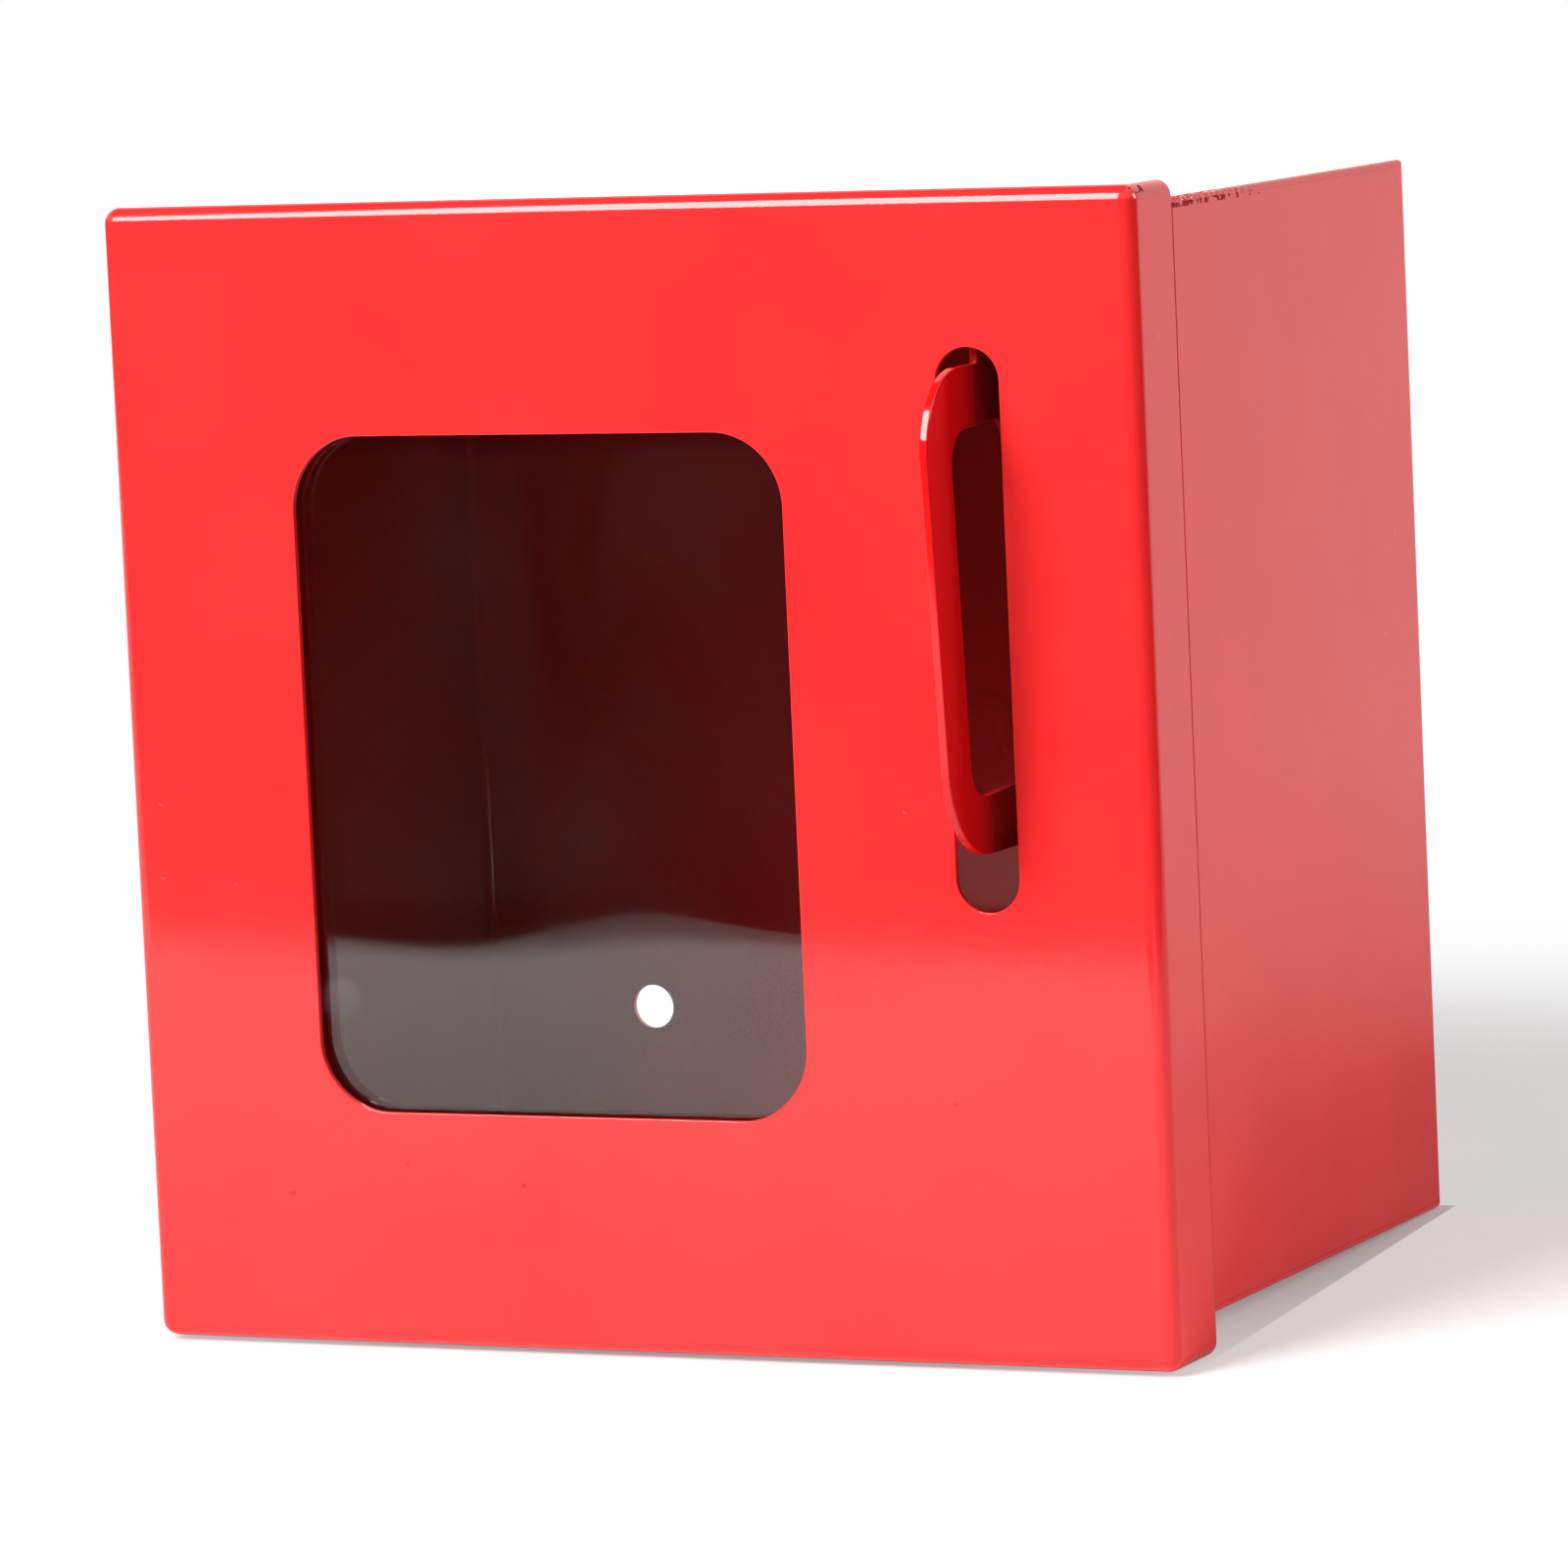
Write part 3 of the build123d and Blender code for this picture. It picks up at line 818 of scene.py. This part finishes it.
# %% [markdown]
# A weld fills the step round each end plate and is ground round. The grinder leaves it wavy,
# and near the front right the bead was left rough, with pits that show dark through the paint.

# %% Seam welds
seam_w, seam_r, seam_steps, seam_pitch = 0.8 * mm, 0.7 * mm, 5, 0.35 * mm
wave_fineness, wave_depth = 260, 0.05 * mm
rough_fineness, rough_from, rough_length = 1100, shell_low.y + 8 * mm, 42 * mm


def seam_weld(name, node, side):
    """The weld round an end plate. side is 1 for the top and -1 for the bottom."""
    shape = bmesh.new()
    base_z = plate_high.z - sheet
    rounded_sheet(shape, shell_high.x - shell_low.x, shell_high.y - shell_low.y, fold_r, corner_steps,
                  (0, shell_mid.y, base_z))
    for edge in [e for e in shape.edges if e.calc_length() > 10 * mm]:
        bmesh.ops.subdivide_edges(shape, edges=[edge], cuts=int(edge.calc_length() / seam_pitch))
    bmesh.ops.inset_region(shape, faces=shape.faces[:], thickness=seam_w, use_even_offset=True,
                           use_boundary=True)
    inner = max(shape.faces, key=lambda f: f.calc_area())
    bmesh.ops.delete(shape, geom=[inner], context="FACES")
    grown = bmesh.ops.extrude_face_region(shape, geom=shape.faces[:])["geom"]
    bmesh.ops.translate(shape, verts=verts_of(grown), vec=(0, 0, sheet))
    bmesh.ops.recalc_face_normals(shape, faces=shape.faces[:])
    crest = [e for e in shape.edges if all(abs(v.co.z - plate_high.z) < near for v in e.verts)
             and any(abs(f.normal.z) < 0.1 and (f.calc_center_median() - shell_mid).dot(f.normal) > 0
                     for f in e.link_faces)]
    bmesh.ops.bevel(shape, geom=crest, offset=seam_r, segments=seam_steps, profile=0.5,
                    affect="EDGES", material=-1)
    gap = [v for v in shape.verts if abs(v.co.x) < lip_end and v.co.y < shell_low.y + 2 * fold_r]
    bmesh.ops.delete(shape, geom=gap, context="VERTS")
    rims = [e for e in shape.edges if e.is_boundary]
    bmesh.ops.holes_fill(shape, edges=rims, sides=0)
    for v in shape.verts:
        height = (v.co.z - base_z) / sheet
        if height < 0.2:
            continue
        wave = abs(noise.noise(v.co * wave_fineness)) * wave_depth
        rough = 0.0
        if side > 0 and v.co.x > 0.9 * shell_high.x:
            along = (v.co.y - rough_from) / rough_length
            strength = max(0.0, 1 - along) if along > -0.3 else 0.0
            grain = abs(noise.noise(v.co * rough_fineness)) * 1.1 - 0.1
            rough = max(0.0, strength * min(0.5, grain) * mm)
        v.co.z -= wave * height
        v.co.x -= math.copysign(rough, v.co.x)
        v.co.z -= rough * 0.5
    if side < 0:
        bmesh.ops.scale(shape, verts=shape.verts[:], vec=(1, 1, -1))
    bmesh.ops.recalc_face_normals(shape, faces=shape.faces[:])
    return finish_piece(new_object(name, shape), "cabinet", [node], body_red)


seam_weld("top_seam_skin", "top_seam_weld", 1)
seam_weld("bottom_seam_skin", "bottom_seam_weld", -1)

# %% [markdown]
# The padlock loop is a flat plate with two bends: the foot lies on the right wall, the web
# crosses to the slot, and the tongue runs out through it. One outline tool trims the loop's
# round corners and the step above it that stops the door, and a second punches the eye. The loop
# was welded in by eye: its front edge leans back a little towards the bottom.

# %% Padlock loop
hasp_low, hasp_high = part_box("hasp_plate")
hasp_t, hasp_fold, loop_edge = 1.2 * mm, 1.8 * mm, 0.22 * mm
loop_r, loop_steps, loop_top = 12.0 * mm, 20, 53.7 * mm
step_y, web_y = -101.6 * mm, -80.0 * mm
eye_low, eye_high, eye_r = Vector((0, -110.0, -2.6)) * mm, Vector((0, -91.0, 45.7)) * mm, 4.5 * mm
tip_lean, tip_spare, eye_lean = 3.4 * mm, 0.71 * mm, math.radians(3.0)
foot_x = hasp_high.x - hasp_t / 2
spare, reach = 3 * mm, 5 * mm
hasp_shape = bmesh.new()
bent_strip(hasp_shape, [
    (slot_x, hasp_low.y - spare), (slot_x, web_y), (foot_x, web_y), (foot_x, hasp_high.y),
], hasp_fold, hasp_low.z - spare, hasp_high.z + spare)
hasp = new_object("padlock_loop", hasp_shape)
thicken(hasp, hasp_t, offset=0)
print("loop plate bent, folds", hasp_fold / mm, "mm")

# %% [markdown]
# The plate is still a plain bent strip, a little too large all round. The outline tool is drawn
# as seen from the side and pulled across the box, and what lies inside it is the finished plate.

# %% Loop outline and eye
outline_shape = bmesh.new()
outline = [outline_shape.verts.new((slot_x - reach, y, z)) for y, z in (
    (hasp_low.y + tip_lean, hasp_low.z), (hasp_low.y - tip_spare, loop_top), (step_y, loop_top),
    (step_y, hasp_high.z), (hasp_high.y + reach, hasp_high.z),
    (hasp_high.y + reach, hasp_low.z),
)]
outline_shape.faces.new(outline)
bmesh.ops.bevel(outline_shape, geom=outline[:2], offset=loop_r, segments=loop_steps, profile=0.5,
                affect="VERTICES", material=-1)
grown = bmesh.ops.extrude_face_region(outline_shape, geom=outline_shape.faces[:])["geom"]
bmesh.ops.translate(outline_shape, verts=verts_of(grown),
                    vec=(hasp_high.x - slot_x + 2 * reach, 0, 0))
bmesh.ops.recalc_face_normals(outline_shape, faces=outline_shape.faces[:])
outline_tool = new_object("outline_tool", outline_shape)
cut(hasp, outline_tool, "INTERSECT")

eye_shape = bmesh.new()
rounded_block(eye_shape, eye_high.y - eye_low.y, eye_high.z - eye_low.z, eye_r, 2 * reach)
turn = Matrix(((0, 0, 1, 0), (1, 0, 0, 0), (0, 1, 0, 0), (0, 0, 0, 1)))
bmesh.ops.transform(eye_shape, matrix=Matrix.Translation(
    (slot_x - reach, (eye_low.y + eye_high.y) / 2, (eye_low.z + eye_high.z) / 2))
    @ Matrix.Rotation(eye_lean, 4, "X") @ turn,
    verts=eye_shape.verts[:])
eye_tool = new_object("eye_tool", eye_shape)
cut(hasp, eye_tool)
soften(hasp, loop_edge)
finish_piece(hasp, "cabinet", ["hasp_plate"], loop_shaded_red)

# %% [markdown]
# A weld bead is a row of frozen ripples. A small disc is pulled along in short steps, swelling
# and shrinking as it goes, and its ends are drawn in.

# %% Weld beads
def bead(shape, start, end, radius, pitch=1.1 * mm):
    """One bead from start to end, with ripples a pitch apart and rounded ends."""
    start, end = Vector(start), Vector(end)
    way = (end - start).normalized()
    steps = max(8, int((end - start).length / (pitch / 4)))
    end_size, end_growth, ripple = 0.35, 4.5, 0.09
    place = Matrix.Translation(start) @ way.to_track_quat("Z", "Y").to_matrix().to_4x4()
    disc = bmesh.ops.create_circle(shape, cap_ends=True, radius=radius * end_size, segments=14,
                                   matrix=place)
    cap = disc["verts"][0].link_faces[0]
    size = end_size
    for i in range(1, steps + 1):
        share = i / steps
        ends = min(1.0, end_size + end_growth * min(share, 1 - share))
        wanted = ends * (1 + ripple * math.cos(2 * math.pi * (end - start).length * share / pitch))
        grown = bmesh.ops.extrude_face_region(shape, geom=[cap])["geom"]
        if i > 1:
            bmesh.ops.delete(shape, geom=[cap], context="FACES_ONLY")
        ring = verts_of(grown)
        cap = next(f for f in grown if isinstance(f, bmesh.types.BMFace))
        bmesh.ops.translate(shape, verts=ring, vec=way * (end - start).length / steps)
        middle = sum((v.co for v in ring), Vector()) / len(ring)
        bmesh.ops.scale(shape, verts=ring, vec=(wanted / size,) * 3, space=Matrix.Translation(-middle))
        size = wanted


stitch_low, stitch_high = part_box("hasp_stitch_welds")
stitch_len, stitch_pitch, stitch_count = 12.0 * mm, 24.0 * mm, 3
stitch_r, stitch_in = 0.9 * mm, 0.25 * mm
stitch_mid = (stitch_low + stitch_high) / 2
stitch_shape = bmesh.new()
x, y = stitch_high.x - stitch_in, stitch_low.y + stitch_in
for i in range(stitch_count):
    level = stitch_mid.z + (i - 1) * stitch_pitch
    bead(stitch_shape, (x, y, level - stitch_len / 2), (x, y, level + stitch_len / 2), stitch_r)
stitches = new_object("loop_stitches", stitch_shape)
finish_piece(stitches, "cabinet", ["hasp_stitch_welds"], body_red)

# %% [markdown]
# The clear plate is a plain rounded rectangle with polished edges, held by a ring of black foam
# tape that is cut a little wider than the opening.

# %% Window plate and tape
pane_low, pane_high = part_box("window_pane")
tape_low, tape_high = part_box("window_tape")
pane_r, pane_edge = 5.0 * mm, 0.2 * mm
pane_shape = bmesh.new()
rounded_block(pane_shape, pane_high.x - pane_low.x, pane_high.z - pane_low.z, pane_r,
              pane_high.y - pane_low.y)
stand_up(pane_shape, (pane_low.x + pane_high.x) / 2, pane_low.y, (pane_low.z + pane_high.z) / 2)
pane = new_object("window_plate", pane_shape)
soften(pane, pane_edge, 2)
finish_piece(pane, "door", ["window_pane"], clear_acrylic)

tape_w, tape_clear = 7.0 * mm, 1.0 * mm
tape_mid, tape_size = (tape_low + tape_high) / 2, tape_high - tape_low
tape_shape = bmesh.new()
rounded_block(tape_shape, tape_size.x, tape_size.z, window_r + tape_clear + tape_w, tape_size.y)
stand_up(tape_shape, tape_mid.x, tape_low.y, tape_mid.z)
tape = new_object("foam_tape", tape_shape)
die_shape = bmesh.new()
rounded_block(die_shape, tape_size.x - 2 * tape_w, tape_size.z - 2 * tape_w, window_r + tape_clear,
              3 * sheet)
stand_up(die_shape, tape_mid.x, tape_low.y - sheet, tape_mid.z)
die = new_object("die", die_shape)
cut(tape, die)
finish_piece(tape, "door", ["window_tape"], black_foam)

# %% [markdown]
# Each hinge is two turned barrels on one pin, with a brass washer between them. A turned part
# is half of its section, spun round the axis.

# %% Hinges
def turned(name, points, centre):
    """Spin a half section, given as distance from the axis and height, into a round part."""
    shape = bmesh.new()
    ring = [shape.verts.new((centre.x + r, centre.y, z)) for r, z in points]
    pairs = list(zip(ring, ring[1:]))
    if points[0][0] > 0:
        pairs.append((ring[-1], ring[0]))
    for pair in pairs:
        shape.edges.new(pair)
    bmesh.ops.spin(shape, geom=shape.verts[:] + shape.edges[:], cent=(centre.x, centre.y, 0),
                   axis=(0, 0, 1), angle=2 * math.pi, steps=56, use_merge=True)
    bmesh.ops.remove_doubles(shape, verts=shape.verts[:], dist=tiny)
    bmesh.ops.recalc_face_normals(shape, faces=shape.faces[:])
    return new_object(name, shape)


def barrel(name, foot_z, mouth_z, r, bore_r, bore_end_z, centre):
    """A barrel that is closed at its foot and bored from its mouth, with broken edges."""
    edge = math.copysign(barrel_edge, mouth_z - foot_z)
    return turned(name, [
        (0, foot_z), (r - barrel_edge, foot_z), (r, foot_z + edge), (r, mouth_z - edge),
        (r - barrel_edge, mouth_z), (bore_r, mouth_z), (bore_r, bore_end_z), (0, bore_end_z),
    ], centre)


barrel_edge, pin_r, pin_edge, pin_play = 0.4 * mm, 1.5 * mm, 0.3 * mm, 0.05 * mm
pin_seat, pin_reach, nose_gap = 12.0 * mm, 11.5 * mm, 0.6 * mm
washer_bore, washer_edge = pin_r + 0.1 * mm, 0.08 * mm
for place in ("upper", "lower"):
    low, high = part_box(f"{place}_body_barrel")
    centre = (low + high) / 2
    r = (high.x - low.x) / 2
    lower_barrel = barrel(f"{place}_cabinet_barrel", low.z, high.z, r, pin_r, high.z - pin_seat, centre)
    finish_piece(lower_barrel, "cabinet", [f"{place}_body_barrel"], body_red)
    low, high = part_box(f"{place}_door_barrel")
    upper_barrel = barrel(f"{place}_door_barrel_skin", high.z, low.z, r, pin_r + pin_play,
                          low.z + pin_reach + nose_gap, centre)
    finish_piece(upper_barrel, "door", [f"{place}_door_barrel"], door_red)
    low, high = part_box(f"{place}_hinge_pin")
    pin = turned(f"{place}_pin_skin", [
        (0, low.z), (pin_r, low.z), (pin_r, high.z - pin_edge), (pin_r - pin_edge, high.z), (0, high.z),
    ], centre)
    finish_piece(pin, "cabinet", [f"{place}_hinge_pin"], bright_steel)
    low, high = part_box(f"{place}_hinge_washer")
    washer_r = (high.x - low.x) / 2
    washer = turned(f"{place}_washer_skin", [
        (washer_bore, low.z), (washer_r - washer_edge, low.z), (washer_r, low.z + washer_edge),
        (washer_r, high.z - washer_edge), (washer_r - washer_edge, high.z), (washer_bore, high.z),
    ], centre)
    finish_piece(washer, "cabinet", [f"{place}_hinge_washer"], turned_brass)

# %% [markdown]
# One bead holds each barrel: the lower ones to the cabinet's left side, the upper ones to the
# rear edge of the door's rim. They are made with the same bead helper as the stitches.

# %% Hinge beads
body_bead_shape, door_bead_shape = bmesh.new(), bmesh.new()
bead_margin, body_bead_r, door_bead_r = 1.5 * mm, 1.0 * mm, 0.9 * mm
body_bead_out, body_bead_in, door_bead_in, door_bead_back = 0.5 * mm, 0.9 * mm, 0.1 * mm, 0.2 * mm
for place in ("upper", "lower"):
    low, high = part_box(f"{place}_body_barrel")
    x, y = shell_low.x - body_bead_out, high.y - body_bead_in
    bead(body_bead_shape, (x, y, low.z + bead_margin), (x, y, high.z - bead_margin), body_bead_r)
    low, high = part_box(f"{place}_door_barrel")
    x, y = pan_low.x + door_bead_in, pan_high.y + door_bead_back
    bead(door_bead_shape, (x, y, low.z + bead_margin), (x, y, high.z - bead_margin), door_bead_r)
finish_piece(new_object("cabinet_hinge_beads", body_bead_shape), "cabinet",
             ["hinge_body_welds"], body_red)
finish_piece(new_object("door_hinge_beads", door_bead_shape), "door",
             ["hinge_door_welds"], door_red)
